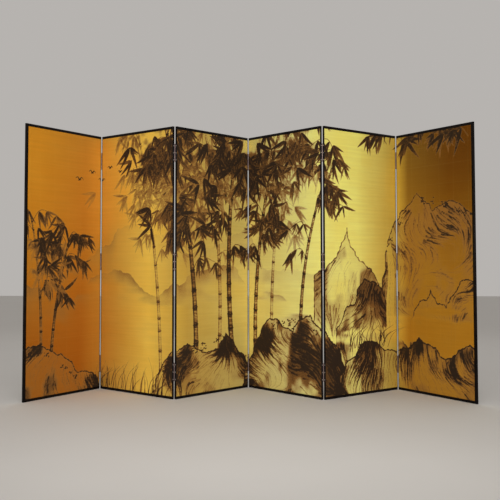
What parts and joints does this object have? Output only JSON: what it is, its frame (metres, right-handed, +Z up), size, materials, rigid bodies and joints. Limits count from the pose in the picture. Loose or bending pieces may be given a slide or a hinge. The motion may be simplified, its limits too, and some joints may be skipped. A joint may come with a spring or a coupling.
{
  "type": "folding screen",
  "caption": "Freestanding folding screen of papered gold panels in a black lacquer frame, hinged front and back in turn so that it zigzags and folds flat.",
  "frame": {"origin": "middle of the footprint of the opened screen, on the floor", "axes": "+X along the screen from the first panel to the last, +Z up, pictures face -Y"},
  "size_m": [2.4442, 0.5918, 1.515],
  "materials": {
    "cedar": "planed",
    "gold_ground": "burnished gold leaf with ink",
    "backing_paper": "matte",
    "black_lacquer": "gloss black lacquer",
    "hinge_metal": "dark patina",
    "pin_steel": "satin",
    "screw_steel": "satin"
  },
  "bodies": {
    "panel_1": {"panel_1_bottom_rail": "black_lacquer", "panel_1_top_rail": "black_lacquer", "panel_1_outer_stile": "black_lacquer", "panel_1_edge_strip": "black_lacquer", "panel_1_lattice": "cedar", "panel_1_picture": "gold_ground", "panel_1_backing": "backing_paper", "fold_1_left_leaves": "hinge_metal", "fold_1_pins": "pin_steel", "panel_1_screws": "screw_steel"},
    "panel_2": {"panel_2_bottom_rail": "black_lacquer", "panel_2_top_rail": "black_lacquer", "panel_2_edge_strips": "black_lacquer", "panel_2_lattice": "cedar", "panel_2_picture": "gold_ground", "panel_2_backing": "backing_paper", "fold_1_right_leaves": "hinge_metal", "fold_2_left_leaves": "hinge_metal", "panel_2_screws": "screw_steel"},
    "panel_3": {"panel_3_bottom_rail": "black_lacquer", "panel_3_top_rail": "black_lacquer", "panel_3_edge_strips": "black_lacquer", "panel_3_lattice": "cedar", "panel_3_picture": "gold_ground", "panel_3_backing": "backing_paper", "fold_2_right_leaves": "hinge_metal", "fold_2_pins": "pin_steel", "fold_3_left_leaves": "hinge_metal", "fold_3_pins": "pin_steel", "panel_3_screws": "screw_steel"},
    "panel_4": {"panel_4_bottom_rail": "black_lacquer", "panel_4_top_rail": "black_lacquer", "panel_4_edge_strips": "black_lacquer", "panel_4_lattice": "cedar", "panel_4_picture": "gold_ground", "panel_4_backing": "backing_paper", "fold_3_right_leaves": "hinge_metal", "fold_4_left_leaves": "hinge_metal", "panel_4_screws": "screw_steel"},
    "panel_5": {"panel_5_bottom_rail": "black_lacquer", "panel_5_top_rail": "black_lacquer", "panel_5_edge_strips": "black_lacquer", "panel_5_lattice": "cedar", "panel_5_picture": "gold_ground", "panel_5_backing": "backing_paper", "fold_4_right_leaves": "hinge_metal", "fold_4_pins": "pin_steel", "fold_5_left_leaves": "hinge_metal", "fold_5_pins": "pin_steel", "panel_5_screws": "screw_steel"},
    "panel_6": {"panel_6_bottom_rail": "black_lacquer", "panel_6_top_rail": "black_lacquer", "panel_6_outer_stile": "black_lacquer", "panel_6_edge_strip": "black_lacquer", "panel_6_lattice": "cedar", "panel_6_picture": "gold_ground", "panel_6_backing": "backing_paper", "fold_5_right_leaves": "hinge_metal", "panel_6_screws": "screw_steel"}
  },
  "joints": [
    {"name": "fold_1", "type": "hinge", "parent": "panel_2", "child": "panel_1", "pos_m": [-0.88869, 0.21728, 0.7575], "axis": [0, 0, 1], "range_deg": [-98, 82]},
    {"name": "fold_2", "type": "hinge", "parent": "panel_3", "child": "panel_2", "pos_m": [-0.41182, -0.16093, 0.7575], "axis": [0, 0, -1], "range_deg": [-89, 91]},
    {"name": "fold_3", "type": "hinge", "parent": "panel_3", "child": "panel_4", "pos_m": [0, 0.28722, 0.7575], "axis": [0, 0, -1], "range_deg": [-98, 82]},
    {"name": "fold_4", "type": "hinge", "parent": "panel_4", "child": "panel_5", "pos_m": [0.41182, -0.16093, 0.7575], "axis": [0, 0, 1], "range_deg": [-89, 91]},
    {"name": "fold_5", "type": "hinge", "parent": "panel_5", "child": "panel_6", "pos_m": [0.88869, 0.21728, 0.7575], "axis": [0, 0, -1], "range_deg": [-98, 82]}
  ]
}
